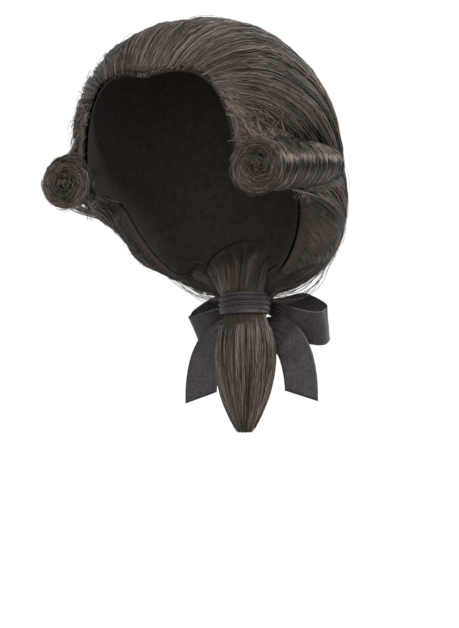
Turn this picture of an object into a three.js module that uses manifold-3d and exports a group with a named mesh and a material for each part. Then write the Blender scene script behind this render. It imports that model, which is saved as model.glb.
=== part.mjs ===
// Gentleman's queue wig of dark brown hair, as it sits on a head. Millimetres, +Z up.
// The wearer faces -Y, +X is the wearer's left, and the origin is the inside top of the cap.
import * as THREE from 'three';
import { mergeVertices } from 'three/addons/utils/BufferGeometryUtils.js';
import Module from 'manifold-3d';

const wasm = await Module();
wasm.setup();

// Head hollow: inside of the cap
const headWidth = 148;
const headFront = 95; // from the middle of the head to the forehead
const headBack = 93; // from the middle of the head to the back of the skull
const headCrown = 88; // from the widest level up to the crown
const headNape = 115; // from the widest level down to where the form would close
const headShift = 4; // middle of the head behind the line of the ears
const headPower = 2.3; // 2 is an ellipse, more is squarer

// Foundation cap
const capWall = 1.5;
const rimDepth = 162; // crown to the lowest hair on the scalp
const capShow = 1.6; // how far the cap's rim shows past the hair
const capShare = 0.875; // how much of the hair, from the front back, the cap carries

// Dressed hair: how far it stands off the head
const crownHair = 17.5;
const frontHair = 8;
const sideHair = 26;
const backHair = 32.6;
const napeHair = 8;
const hairSweep = 17.3; // how far back the widest place lies
const hairSag = 17.5; // how far down the widest place lies
const plumpAround = 2.76; // squareness seen from above
const plumpDown = 2.23; // squareness seen from the side
const edgeHair = 3.4; // thickness along the hairline
const templeHollow = 0.5; // how much flatter the hair lies over the temple
const lockDepth = 1.5;

// Tie at the nape
const tieDrop = 193; // below the crown
const tieBack = 88; // behind the line of the ears
const tieHalfWidth = 19;
const tieHalfDepth = 13;
const gatherLift = 20; // where the hair begins to close on the tie, above it
const gatherFall = 8; // how much lower it begins at the nape's corners
const gatherSpread = 1.5; // how much wider than the tie it begins
const gatherStart = 0.9; // share of a strand where it begins

// Side curls, one roll over each ear
const curlRadius = 20.7; // at the front end
const curlWall = 5;
const curlSlit = 1.3; // open slit between the turns
const curlTurns = 2.35;

// Queue below the tie
const queueLength = 104;
const queueHalfWidth = 27;
const queueHalfDepth = 13;

// Ribbon
const ribbonWidth = 30;
const ribbonWall = 1;
const wrapHeight = 17;
const knotWidth = 19;
const knotDepth = 12;
const knotHeight = 21;
const loopReach = 58; // from the knot's middle to the loop's end
const loopGape = 22; // how far the loop stands open
const loopSag = 17; // how far the loop's end hangs
const loopSetBack = 10; // how far the loop's end stands behind the knot
const loopLean = 0.68; // how far the loop's upper edge leans forward, for each unit up
const loopSplay = 0.12; // how far it leans outward
const tailDrop = 74;
const tailSpread = 44;
const tailSetIn = 10; // how far the tail lies in front of the knot's middle

const gap = 0.3;

// Shares of rimDepth, from the widow's peak round the temple to the top of the ear
const hairline = [
  { turn: 0, drop: 0.287 },
  { turn: 11, drop: 0.263 },
  { turn: 22, drop: 0.267 },
  { turn: 29.5, drop: 0.302 },
  { turn: 34, drop: 0.352 },
  { turn: 38, drop: 0.430 },
  { turn: 41, drop: 0.525 },
  { turn: 43, drop: 0.617 },
  { turn: 48, drop: 0.690 },
  { turn: 62, drop: 0.722 },
  { turn: 80, drop: 0.716 },
  { turn: 98, drop: 0.716 },
];
const neckEdge = [
  { turn: 109, drop: 0.79 },
  { turn: 117, drop: 0.88 },
  { turn: 127, drop: 0.97 },
  { turn: 139, drop: 1.05 },
];

// How the hair is combed as it leaves its edge, evenly from the widow's peak to the nape's corner:
// a direction, and how far it holds
const combing = [
  { side: 0, back: 0.80, up: 1.00, reach: 1.62 },
  { side: 0.15, back: 1.00, up: 0.85, reach: 1.50 },
  { side: 0.25, back: 1.00, up: 0.40, reach: 1.15 },
  { side: 0.20, back: 1.00, up: 0.12, reach: 0.80 },
  { side: 0.05, back: 1.00, up: -0.35, reach: 0.45 },
  { side: -0.20, back: 1.00, up: -0.60, reach: 0.22 },
];

// Directions of the hair as it comes in to the tie
const arriveMiddle = new THREE.Vector3(0, -0.1, -1);
const arriveCorner = new THREE.Vector3(-1.3, 0.2, -0.45);

// Middle of the roll from its front end back: shares of headWidth / 2, headBack, rimDepth, curlRadius
const curlPath = [
  { side: 1.047, back: -0.71, drop: 0.700, radius: 1.00 },
  { side: 1.170, back: -0.43, drop: 0.672, radius: 0.94 },
  { side: 1.235, back: -0.13, drop: 0.645, radius: 0.87 },
  { side: 1.235, back: 0.17, drop: 0.618, radius: 0.79 },
  { side: 1.180, back: 0.47, drop: 0.590, radius: 0.71 },
];

// Shares of queueHalfWidth and queueHalfDepth, evenly down queueLength
const queueSections = [
  { width: 0.70, depth: 0.80 },
  { width: 0.85, depth: 0.92 },
  { width: 1.00, depth: 1.00 },
  { width: 0.98, depth: 0.95 },
  { width: 0.84, depth: 0.80 },
  { width: 0.60, depth: 0.58 },
  { width: 0.24, depth: 0.26 },
];

const hairColour = new THREE.MeshStandardMaterial({ color: 0x2b211c, roughness: 0.5, metalness: 0 });
const curlColour = new THREE.MeshStandardMaterial({ color: 0x30241d, roughness: 0.45, metalness: 0 });
const capColour = new THREE.MeshStandardMaterial({ color: 0x1c1817, roughness: 0.9, metalness: 0 });
const ribbonColour = new THREE.MeshStandardMaterial({ color: 0x24222b, roughness: 0.4, metalness: 0 });

const headForm = {
  side: headWidth / 2, front: headFront, back: headBack, above: headCrown, below: headNape,
  y: headShift, z: -headCrown, around: headPower, down: headPower,
};
const hairForm = {
  side: headWidth / 2 + sideHair,
  front: headFront + frontHair + hairSweep,
  back: headBack + backHair - hairSweep,
  above: headCrown + hairSag + crownHair,
  below: headNape - hairSag + napeHair,
  y: headShift + hairSweep,
  z: -headCrown - hairSag,
  around: plumpAround,
  down: plumpDown,
};
const middle = new THREE.Vector3(0, headShift, -headCrown);
const tie = new THREE.Vector3(0, tieBack, -tieDrop);

const clamp = (value, low, high) => Math.min(high, Math.max(low, value));
const ease = (from, to, value) => THREE.MathUtils.smoothstep(value, from, to);
const mix = THREE.MathUtils.lerp;
const rad = THREE.MathUtils.degToRad;

// Smooth reading of a table at a share of its rows
function readRows(rows, share) {
  const place = clamp(share, 0, 1) * (rows.length - 1);
  const row = Math.min(Math.floor(place), rows.length - 2);
  const near = (step) => rows[clamp(row + step, 0, rows.length - 1)];
  const t = place - row;
  const result = {};
  for (const key of Object.keys(rows[0])) {
    const [a, b, c, d] = [near(-1)[key], near(0)[key], near(1)[key], near(2)[key]];
    const bend = (2 * a - 5 * b + 4 * c - d) * t * t + (3 * b - a - 3 * c + d) * t * t * t;
    result[key] = b + 0.5 * ((c - a) * t + bend);
  }
  return result;
}

// Distance from the middle of the head to a form, along a direction
function reachForm(form, direction) {
  let low = 1;
  let high = 400;
  for (let step = 0; step < 34; step += 1) {
    const r = (low + high) / 2;
    const x = Math.abs(direction.x * r) / form.side;
    const dy = middle.y + direction.y * r - form.y;
    const dz = middle.z + direction.z * r - form.z;
    const y = Math.abs(dy) / (dy < 0 ? form.front : form.back);
    const z = Math.abs(dz) / (dz < 0 ? form.below : form.above);
    const around = (x ** form.around + y ** form.around) ** (1 / form.around);
    if (around ** form.down + z ** form.down < 1) low = r;
    else high = r;
  }
  return low;
}

// Direction from the middle of the head to the place on it at a turn from the front and a drop
function towardHead(turn, drop) {
  const z = -drop - headForm.z;
  const rise = Math.abs(z) / (z < 0 ? headForm.below : headForm.above);
  const shrink = Math.max(1 - rise ** headForm.down, 0) ** (1 / headForm.down);
  const across = Math.abs(Math.sin(rad(turn))) / headForm.side;
  const along = Math.abs(Math.cos(rad(turn))) / (Math.abs(turn) < 90 ? headForm.front : headForm.back);
  const r = shrink / (across ** headForm.around + along ** headForm.around) ** (1 / headForm.around);
  return new THREE.Vector3(r * Math.sin(rad(turn)), -r * Math.cos(rad(turn)), z).normalize();
}

const point = (direction, distance) => middle.clone().addScaledVector(direction, distance);

// A closed body from rings of points: each ring has as many points, ends are closed flat or at a pole
function ringsToGeometry(rings, closeEnds = true) {
  const around = rings[0].length;
  const points = rings.flat();
  const positions = points.flatMap((p) => [p.x, p.y, p.z]);
  const index = [];
  for (let i = 0; i < rings.length - 1; i += 1) {
    for (let j = 0; j < around; j += 1) {
      const a = i * around + j;
      const b = i * around + ((j + 1) % around);
      const [c, d] = [b + around, a + around];
      // The shorter diagonal, so that a skin and the one under it fold alike
      if (points[a].distanceTo(points[c]) < points[b].distanceTo(points[d])) index.push(a, b, c, a, c, d);
      else index.push(a, b, d, b, c, d);
    }
  }
  if (closeEnds) {
    for (const [ring, flip] of [[0, true], [rings.length - 1, false]]) {
      const base = ring * around;
      const half = around / 2;
      for (let j = 0; j < half - 1; j += 1) {
        const a = base + j;
        const b = base + j + 1;
        const c = base + around - 2 - j;
        const d = base + around - 1 - j;
        const faces = c === b ? [[a, b, d]] : [[a, b, c], [a, c, d]];
        for (const face of faces) index.push(...(flip ? face.reverse() : face));
      }
    }
  }
  return outward(positions, index);
}

// Triangles with no area dropped, shared points merged and every face pointing out
function outward(positions, index) {
  let geometry = new THREE.BufferGeometry();
  geometry.setAttribute('position', new THREE.Float32BufferAttribute(positions, 3));
  geometry.setIndex(index);
  geometry = mergeVertices(geometry, 1e-4);
  const merged = geometry.getIndex().array;
  const kept = [];
  for (let i = 0; i < merged.length; i += 3) {
    const [a, b, c] = [merged[i], merged[i + 1], merged[i + 2]];
    if (a !== b && b !== c && a !== c) kept.push(a, b, c);
  }
  const place = geometry.getAttribute('position');
  const corner = (n) => new THREE.Vector3().fromBufferAttribute(place, n);
  let volume = 0;
  for (let i = 0; i < kept.length; i += 3) {
    volume += corner(kept[i]).dot(corner(kept[i + 1]).cross(corner(kept[i + 2])));
  }
  if (volume < 0) {
    for (let i = 0; i < kept.length; i += 3) [kept[i], kept[i + 1]] = [kept[i + 1], kept[i]];
  }
  geometry.setIndex(kept);
  return geometry;
}

function toSolid(geometry) {
  return new wasm.Manifold(new wasm.Mesh({
    numProp: 3,
    vertProperties: new Float32Array(geometry.getAttribute('position').array),
    triVerts: new Uint32Array(geometry.getIndex().array),
  }));
}

function toGeometry(solid) {
  const mesh = solid.getMesh();
  const geometry = new THREE.BufferGeometry();
  geometry.setAttribute('position', new THREE.BufferAttribute(new Float32Array(mesh.vertProperties), 3));
  geometry.setIndex(new THREE.BufferAttribute(new Uint32Array(mesh.triVerts), 1));
  return geometry;
}

// Direction of the strand that starts at a share of the edge, at a share of its way to the tie
function strandDirection(side, way) {
  const along = Math.abs(side);
  const edge = readRows([...hairline, ...neckEdge], along);
  const start = towardHead(edge.turn, edge.drop * rimDepth);
  const comb = readRows(combing, along);
  const leave = new THREE.Vector3(comb.side, comb.back, comb.up);
  leave.addScaledVector(start, -leave.dot(start)).normalize();
  const gather = new THREE.Vector3(
    tieHalfWidth * gatherSpread * Math.sin(rad(90 * along)),
    tie.y + tieHalfDepth * (1.1 - 1.6 * along ** 2),
    tie.z + gatherLift - gatherFall * along ** 2,
  ).sub(middle).normalize();
  const arrive = arriveMiddle.clone().lerp(arriveCorner, along);
  arrive.addScaledVector(gather, -arrive.dot(gather)).normalize();
  const controls = [
    start,
    start.clone().addScaledVector(leave, comb.reach),
    gather.clone().addScaledVector(arrive, -comb.reach),
    gather,
  ];
  const direction = new THREE.CubicBezierCurve3(...controls).getPoint(way).normalize();
  if (side < 0) direction.x *= -1;
  return direction;
}

const hairColumns = 54;
const hairRows = 16;
const columnsPerLock = 3;

const sideOf = (column) => (column / hairColumns) * 2 - 1;

// The cap: a thin cloth bowl whose rim follows the hairline, over the ears and round the nape
function capGeometry() {
  const rows = Math.round(hairRows * capShare);
  const strandLength = headCrown + headBack + headFront / 2; // about, from the hairline to the tie
  const rings = [];
  for (let i = 0; i <= rows; i += 1) {
    const outer = [];
    const inner = [];
    for (let j = 0; j <= hairColumns; j += 1) {
      const way = i === 0 ? -capShow / strandLength : i / hairRows / gatherStart;
      const direction = strandDirection(sideOf(j), way);
      const scalp = reachForm(headForm, direction);
      outer.push(point(direction, scalp + capWall));
      inner.push(point(direction, scalp));
    }
    rings.push([...outer, ...inner.reverse()]);
  }
  return ringsToGeometry(rings);
}

// The dressed hair: locks from the hairline back to the tie, on an open bowl over the cap
function crownGeometry() {
  const edgeRise = 0.13; // share of a strand in which it rises to its full stand
  const cornerRise = 0.2; // share of the edge in which it fills out from the nape's corner
  const rings = [];
  const tieRing = (face, level) => Array.from({ length: hairColumns + 1 }, (_, j) => {
    const turn = rad(78 * sideOf(j));
    return new THREE.Vector3(
      tie.x + tieHalfWidth * Math.sin(turn), tie.y + face * tieHalfDepth * Math.cos(turn), tie.z + level);
  });
  for (let i = 0; i <= hairRows; i += 1) {
    const way = i / hairRows;
    const gathered = ease(capShare, 1, way);
    const outer = tieRing(1, wrapHeight / 2 + 1);
    const inner = tieRing(-1, wrapHeight / 2 + 1);
    for (let j = 0; j <= hairColumns; j += 1) {
      const fromEdge = 1 - Math.abs(sideOf(j));
      const direction = strandDirection(sideOf(j), Math.min(way / gatherStart, 1));
      const scalp = reachForm(headForm, direction) + capWall + gap;
      const full = Math.max(reachForm(hairForm, direction), scalp + edgeHair);
      const temple = ease(0.22, 0.42, 1 - fromEdge) * ease(0.3, 0.5, fromEdge) * (1 - ease(0.1, 0.35, way));
      const atEdge = Math.min(ease(-0.02, edgeRise, way), mix(0.2, 1, ease(0, cornerRise, fromEdge)));
      const fullness = atEdge * (1 - templeHollow * temple);
      const groove = j % columnsPerLock === 0 ? -1 : 0.4 + 0.3 * Math.sin(j * 2.1 + 3 * way);
      const relief = lockDepth * groove * ease(0, 0.12, way) * ease(0, 0.05, fromEdge);
      const stand = mix(edgeHair, full - scalp, fullness) + relief;
      outer[j].copy(point(direction, scalp + stand).lerp(outer[j], gathered));
      inner[j].copy(point(direction, scalp).lerp(inner[j], gathered));
    }
    rings.push([...outer, ...inner.reverse()]);
  }
  rings.push([...tieRing(1, 0), ...tieRing(-1, 0).reverse()]);
  return ringsToGeometry(rings);
}

const curlLip = rad(118); // where the rolled sheet begins, above its inner side
const curlPitch = curlWall + curlSlit;

// Section of the roll at a share of its length: every section is square to the wearer's front
function curlSection(share, hand) {
  const row = readRows(curlPath, share);
  return {
    hand,
    scale: row.radius,
    centre: new THREE.Vector3(
      hand * row.side * headWidth / 2, headShift + row.back * headBack, -row.drop * rimDepth),
  };
}

function curlPoint({ centre, hand }, radius, turn) {
  return new THREE.Vector3(
    centre.x + hand * radius * Math.cos(turn), centre.y, centre.z + radius * Math.sin(turn));
}

// A side curl: a thick sheet of hair rolled up from its lip at the top, open at the core
function curlGeometry(hand) {
  const stations = 6;
  const steps = Math.round(curlTurns * 16);
  const rings = [];
  for (let i = 0; i <= stations; i += 1) {
    const section = curlSection(i / stations, hand);
    const outer = [];
    const inner = [];
    for (let j = 0; j <= steps; j += 1) {
      const turned = (j / steps) * curlTurns;
      const radius = (curlRadius - curlPitch * turned) * section.scale;
      const thin = mix(0.35, 1, ease(0, 0.12, turned)) * mix(0.5, 1, ease(0, 0.15, curlTurns - turned));
      const turn = curlLip - turned * 2 * Math.PI;
      outer.push(curlPoint(section, radius, turn));
      inner.push(curlPoint(section, radius - curlWall * section.scale * thin, turn));
    }
    rings.push([...outer, ...inner.reverse()]);
  }
  return ringsToGeometry(rings);
}

// The room that a roll needs in the dressed hair: its first turn, with a gap all round
function curlRoom(hand) {
  const stations = 6;
  const sides = 28;
  const rings = [];
  for (let i = -1; i <= stations + 1; i += 1) {
    const section = curlSection(clamp(i / stations, 0, 1), hand);
    if (i < 0) section.centre.y -= gap;
    if (i > stations) section.centre.y += gap;
    const ring = [];
    for (let j = 0; j < sides; j += 1) {
      const turned = j / (sides - 1);
      const room = (curlRadius - curlPitch * turned) * section.scale / Math.cos(Math.PI / sides) + gap;
      ring.push(curlPoint(section, room, curlLip - turned * 2 * Math.PI));
    }
    rings.push(ring);
  }
  return ringsToGeometry(rings);
}

// The queue: a tapering tail of locks that hangs from the tie
function queueGeometry() {
  const sides = 24;
  const rows = 9;
  const rings = [];
  for (let i = 0; i <= rows; i += 1) {
    const share = i / rows;
    const section = readRows(queueSections, share);
    const drop = share * queueLength;
    const free = ease(wrapHeight / 2, wrapHeight / 2 + queueHalfDepth, drop);
    const halfWidth = mix(tieHalfWidth * 0.97, queueHalfWidth * section.width, free);
    const halfDepth = mix(tieHalfDepth * 0.97, queueHalfDepth * section.depth, free);
    const ring = [];
    for (let j = 0; j < sides; j += 1) {
      const turn = (j / sides) * 2 * Math.PI;
      const lock = 1 + (j % 3 === 0 ? -0.07 : 0.02) * ease(0.08, 0.3, share);
      ring.push(new THREE.Vector3(
        tie.x + halfWidth * lock * Math.cos(turn),
        tie.y + halfDepth * lock * Math.sin(turn),
        tie.z - gap - drop,
      ));
    }
    rings.push(ring);
  }
  return ringsToGeometry(rings);
}

// A flat strip along a list of stations, each with its middle, its width direction and its normal
function stripGeometry(stations) {
  return ringsToGeometry(stations.map(({ centre, across, normal, width }) => [
    [-0.5, -0.5], [-0.5, 0.5], [0.5, 0.5], [0.5, -0.5],
  ].map(([side, skin]) => centre.clone()
    .addScaledVector(across, side * width)
    .addScaledVector(normal, skin * ribbonWall))));
}

// The ribbon's turn round the gathered hair
function wrapGeometry() {
  const sides = 32;
  const rings = [];
  const wall = [[0, -0.5], [1, -0.5], [1, 0.5], [0, 0.5]];
  for (const [skin, level] of [...wall, wall[0]]) {
    const ring = [];
    const swell = gap + skin * ribbonWall;
    for (let j = 0; j < sides; j += 1) {
      const turn = (j / sides) * 2 * Math.PI;
      ring.push(new THREE.Vector3(
        tie.x + (tieHalfWidth * 1.03 + swell) * Math.cos(turn),
        tie.y + (tieHalfDepth * 1.03 + swell) * Math.sin(turn),
        tie.z + level * wrapHeight,
      ));
    }
    rings.push(ring);
  }
  return ringsToGeometry(rings, false);
}

const knotY = tieBack + tieHalfDepth * 1.03 + ribbonWall + 2 * gap + knotDepth / 2;

// The knot: a soft block with its corners drawn in
function knotGeometry() {
  const sides = 16;
  const rows = 7;
  const rings = [];
  for (let i = 0; i <= rows; i += 1) {
    const lift = rad(mix(-90, 90, i / rows));
    const shrink = Math.max(Math.cos(lift), 0.02) ** 0.55;
    const height = Math.sign(Math.sin(lift)) * Math.abs(Math.sin(lift)) ** 0.8;
    const ring = [];
    for (let j = 0; j < sides; j += 1) {
      const turn = (j / sides) * 2 * Math.PI;
      const square = (part) => Math.sign(part) * Math.abs(part) ** 0.7;
      ring.push(new THREE.Vector3(
        tie.x + square(Math.cos(turn)) * shrink * knotWidth / 2,
        knotY + square(Math.sin(turn)) * shrink * knotDepth / 2,
        tie.z + height * knotHeight / 2,
      ));
    }
    rings.push(ring);
  }
  return ringsToGeometry(rings);
}

// A bow loop: out from the knot along the front, round the end and back along the rear
function loopGeometry(hand) {
  const steps = 26;
  const start = knotWidth / 2 + gap + ribbonWidth * 0.05;
  const upperEdge = new THREE.Vector3(hand * loopSplay, -loopLean, 1).normalize();
  const rear = new THREE.Vector3(0, 1, 0).addScaledVector(upperEdge, -upperEdge.y).normalize();
  const stations = [];
  for (let i = 0; i <= steps; i += 1) {
    const turn = mix(-1, 1, i / steps) * Math.PI;
    const out = (1 + Math.cos(turn)) / 2;
    const open = Math.abs(Math.sin(turn)) ** 0.85 * mix(0.12, 1, ease(0, 0.6, out)) + 0.1;
    const centre = new THREE.Vector3(
      tie.x + hand * (start + (loopReach - start) * out),
      knotY + loopSetBack * out,
      tie.z - loopSag * out,
    );
    stations.push({
      centre: centre.addScaledVector(rear, Math.sign(turn) * open * loopGape / 2),
      width: ribbonWidth * mix(0.42, 1, ease(0, 0.55, out)),
    });
  }
  stations.forEach((station, i) => {
    const before = stations[Math.max(i - 1, 0)].centre;
    const after = stations[Math.min(i + 1, steps)].centre;
    const along = after.clone().sub(before).normalize();
    station.across = upperEdge.clone().addScaledVector(along, -upperEdge.dot(along)).normalize();
    station.normal = new THREE.Vector3().crossVectors(along, station.across);
  });
  return stripGeometry(stations);
}

// A ribbon tail: out from under the knot and down beside the queue, cut straight across
function tailGeometry(hand) {
  const steps = 14;
  const top = tie.z - knotHeight / 2 - gap - ribbonWidth * 0.068;
  const path = new THREE.CubicBezierCurve3(
    new THREE.Vector3(hand * knotWidth * 0.28, knotY - tailSetIn * 0.2, top),
    new THREE.Vector3(hand * tailSpread * 0.35, knotY - tailSetIn * 0.8, top - ribbonWidth * 0.17),
    new THREE.Vector3(hand * tailSpread, knotY - tailSetIn, top - ribbonWidth * 0.27),
    new THREE.Vector3(hand * tailSpread, knotY - tailSetIn, tie.z - tailDrop),
  );
  const stations = [];
  for (let i = 0; i <= steps; i += 1) {
    const share = i / steps;
    const along = path.getTangent(share);
    const normal = new THREE.Vector3(0, 1, 0);
    normal.addScaledVector(along, -normal.dot(along)).normalize();
    stations.push({
      centre: path.getPoint(share),
      across: new THREE.Vector3().crossVectors(along, normal),
      normal,
      width: ribbonWidth * mix(0.3, 0.93, ease(0, 0.55, share)),
    });
  }
  return stripGeometry(stations);
}

const wig = new THREE.Group();

function addPiece(name, geometry, material) {
  const mesh = new THREE.Mesh(geometry, material);
  mesh.name = name;
  wig.add(mesh);
}

let crown = toSolid(crownGeometry());
for (const hand of [1, -1]) crown = crown.subtract(toSolid(curlRoom(hand)));

addPiece('foundation_cap', capGeometry(), capColour);
addPiece('crown_hair', toGeometry(crown), hairColour);
addPiece('side_curl_left', curlGeometry(1), curlColour);
addPiece('side_curl_right', curlGeometry(-1), curlColour);
addPiece('queue', queueGeometry(), hairColour);
addPiece('ribbon_wrap', wrapGeometry(), ribbonColour);
addPiece('ribbon_knot', knotGeometry(), ribbonColour);
addPiece('bow_loop_left', loopGeometry(1), ribbonColour);
addPiece('bow_loop_right', loopGeometry(-1), ribbonColour);
addPiece('ribbon_tail_left', tailGeometry(1), ribbonColour);
addPiece('ribbon_tail_right', tailGeometry(-1), ribbonColour);

export default wig;
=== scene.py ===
import math

import bmesh
import bpy
import numpy as np
from mathutils import Matrix, Vector
from mathutils.bvhtree import BVHTree
from mathutils.kdtree import KDTree


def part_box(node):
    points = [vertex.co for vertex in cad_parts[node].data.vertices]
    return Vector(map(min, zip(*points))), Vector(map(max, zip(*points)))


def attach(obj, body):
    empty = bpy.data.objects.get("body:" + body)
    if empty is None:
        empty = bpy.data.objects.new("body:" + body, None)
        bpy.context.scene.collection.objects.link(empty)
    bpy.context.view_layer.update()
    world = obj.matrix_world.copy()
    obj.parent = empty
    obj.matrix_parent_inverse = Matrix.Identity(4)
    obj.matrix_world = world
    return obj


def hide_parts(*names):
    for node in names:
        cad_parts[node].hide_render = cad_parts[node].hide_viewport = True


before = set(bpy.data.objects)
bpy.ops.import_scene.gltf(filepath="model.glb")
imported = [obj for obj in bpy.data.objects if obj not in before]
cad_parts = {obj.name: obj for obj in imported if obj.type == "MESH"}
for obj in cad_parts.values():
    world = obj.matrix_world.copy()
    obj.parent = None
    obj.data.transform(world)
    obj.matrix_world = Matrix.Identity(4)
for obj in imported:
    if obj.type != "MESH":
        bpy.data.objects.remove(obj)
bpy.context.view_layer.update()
detail = 1.0  # fewer strands while trying things
hands = {"left": 1, "right": -1}
seeds = {"crown": 11, "curls": 12, "queue": 13, "loose": 14}

# Camera: where the photograph was taken from, round the wig's origin
view = {
    "turn": 25.0,  # degrees round towards the wearer's left
    "pitch": 5.25,  # degrees up
    "distance": 1.2,
    "right": 0.025,
    "height": -0.3188,
    "lens": 92.2,
    "sensor": 36.0,
    "clip": (0.05, 60),
}


def placeCamera():
    turn = math.radians(view["turn"])
    data = bpy.data.cameras.new("camera")
    data.lens, data.sensor_width = view["lens"], view["sensor"]
    data.clip_start, data.clip_end = view["clip"]
    camera = bpy.data.objects.new("camera", data)
    back = Vector((math.sin(turn), -math.cos(turn), 0))
    right = Vector((math.cos(turn), math.sin(turn), 0))
    camera.location = back * view["distance"] + right * view["right"]
    camera.location.z = view["height"]
    camera.rotation_euler = (math.radians(90 + view["pitch"]), 0, turn)
    bpy.context.scene.collection.objects.link(camera)
    bpy.context.scene.camera = camera


placeCamera()
print("camera placed")

# Studio: pale floor, soft boxes and a white room
studio = {
    "floorHeight": -0.46,
    "floorSize": 60.0,
    "floorColour": (0.2, 0.2, 0.2, 1),
    "floorRoughness": 0.8,
    "floorGlow": 0.9,
    "floorBounce": 0.42,  # light from the floor on the wig
    "white": (1, 1, 1, 1),
    "backdrop": 1.0,  # what shows behind the wig
    "room": (0.98, 0.52),  # what falls on it from all round, at the horizon and overhead
    "aim": (0, 0.02, -0.08),
    # place, size and watts of each lamp
    "lamps": {
        "top": ((0.3, -0.2, 1.7), 2.4, 5.0),
        "key": ((1.15, -1.30, 0.80), 0.24, 31.0),
        "fill": ((0.45, -2.0, -0.15), 1.5, 40.0),
        "side": ((1.8, 0.3, 0.6), 0.8, 20.0),
        "behind": ((1.35, 1.35, 0.45), 0.9, 20.0),
    },
}


def buildFloor():
    bm = bmesh.new()
    shift = Matrix.Translation((0, 0, studio["floorHeight"]))
    bmesh.ops.create_grid(bm, x_segments=1, y_segments=1, size=studio["floorSize"] / 2, matrix=shift)
    mesh = bpy.data.meshes.new("floor")
    bm.to_mesh(mesh)
    bm.free()
    floor = bpy.data.objects.new("floor", mesh)
    bpy.context.scene.collection.objects.link(floor)
    paint = bpy.data.materials.new("floorPaint")
    paint.use_nodes = True
    nodes, links = paint.node_tree.nodes, paint.node_tree.links
    shader = nodes["Principled BSDF"]
    shader.inputs["Base Color"].default_value = studio["floorColour"]
    shader.inputs["Roughness"].default_value = studio["floorRoughness"]
    shader.inputs["Emission Color"].default_value = studio["white"]
    seen, glow = nodes.new("ShaderNodeLightPath"), nodes.new("ShaderNodeMapRange")
    glow.inputs["To Min"].default_value = studio["floorBounce"]
    glow.inputs["To Max"].default_value = studio["floorGlow"]
    links.new(seen.outputs["Is Camera Ray"], glow.inputs["Value"])
    links.new(glow.outputs["Result"], shader.inputs["Emission Strength"])
    mesh.materials.append(paint)


def placeLamps():
    for name, (place, width, watts) in studio["lamps"].items():
        light = bpy.data.lights.new(name, "AREA")
        light.size, light.energy = width, watts
        lamp = bpy.data.objects.new(name, light)
        lamp.location = place
        aim = Vector(studio["aim"]) - Vector(place)
        lamp.rotation_euler = aim.to_track_quat("-Z", "Y").to_euler()
        bpy.context.scene.collection.objects.link(lamp)


def buildRoom():
    # dimmer overhead than at the horizon, and even behind the wig
    world = bpy.data.worlds.new("room")
    world.use_nodes = True
    nodes, links = world.node_tree.nodes, world.node_tree.links
    room, backdrop = nodes["Background"], nodes.new("ShaderNodeBackground")
    room.inputs["Color"].default_value = studio["white"]
    backdrop.inputs["Color"].default_value = studio["white"]
    backdrop.inputs["Strength"].default_value = studio["backdrop"]
    sky, height = nodes.new("ShaderNodeTexCoord"), nodes.new("ShaderNodeSeparateXYZ")
    dimming = nodes.new("ShaderNodeMapRange")
    dimming.inputs["To Min"].default_value, dimming.inputs["To Max"].default_value = studio["room"]
    links.new(sky.outputs["Generated"], height.inputs["Vector"])
    links.new(height.outputs["Z"], dimming.inputs["Value"])
    links.new(dimming.outputs["Result"], room.inputs["Strength"])
    seen, choice = nodes.new("ShaderNodeLightPath"), nodes.new("ShaderNodeMixShader")
    links.new(seen.outputs["Is Camera Ray"], choice.inputs["Fac"])
    links.new(room.outputs["Background"], choice.inputs[1])
    links.new(backdrop.outputs["Background"], choice.inputs[2])
    links.new(choice.outputs["Shader"], nodes["World Output"].inputs["Surface"])
    bpy.context.scene.world = world
    bpy.context.scene.view_settings.view_transform = "Standard"


buildFloor()
placeLamps()
buildRoom()
print("studio ready")

# The head that the wig is made for, in metres
head = {
    "halfWidth": 0.074,
    "front": 0.095,
    "back": 0.093,
    "above": 0.088,
    "below": 0.115,
    "squareness": 2.3,
    "rimDepth": 0.162,
    "wall": 0.0015,  # cap cloth
}
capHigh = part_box("foundation_cap")[1]
wrapLow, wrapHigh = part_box("ribbon_wrap")
headMiddle = np.array([0, capHigh.y - head["wall"] - head["back"], -head["above"]])
tie = np.array([0, (wrapLow.y + wrapHigh.y) / 2, (wrapLow.z + wrapHigh.z) / 2])

# Edge of the hair from the widow's peak round the temple and ear to the nape's corner:
# degrees from the front, and share of rimDepth down from the crown
hairEdge = {
    "turn": [0, 11, 22, 29.5, 34, 38, 41, 43, 48, 62, 80, 98, 109, 117, 127, 139],
    "drop": [
        0.287, 0.263, 0.267, 0.302, 0.352, 0.430, 0.525, 0.617,
        0.690, 0.722, 0.716, 0.716, 0.79, 0.88, 0.97, 1.05,
    ],
}
# How the hair leaves that edge, and how far it holds its direction
combing = {
    "side": [0, 0.30, 0.48, 0.42, 0.30, 0.22, 0.18, 0.12, 0.05, -0.08, -0.20],
    "back": [0.80, 1.00, 1.00, 1.00, 1.00, 1.00, 1.00, 1.00, 1.00, 1.00, 1.00],
    "up": [1.00, 0.84, 0.22, -0.30, -0.42, -0.20, 0.02, -0.12, -0.35, -0.48, -0.60],
    "reach": [1.55, 1.30, 1.10, 0.92, 0.82, 0.82, 0.80, 0.62, 0.45, 0.33, 0.22],
}
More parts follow.
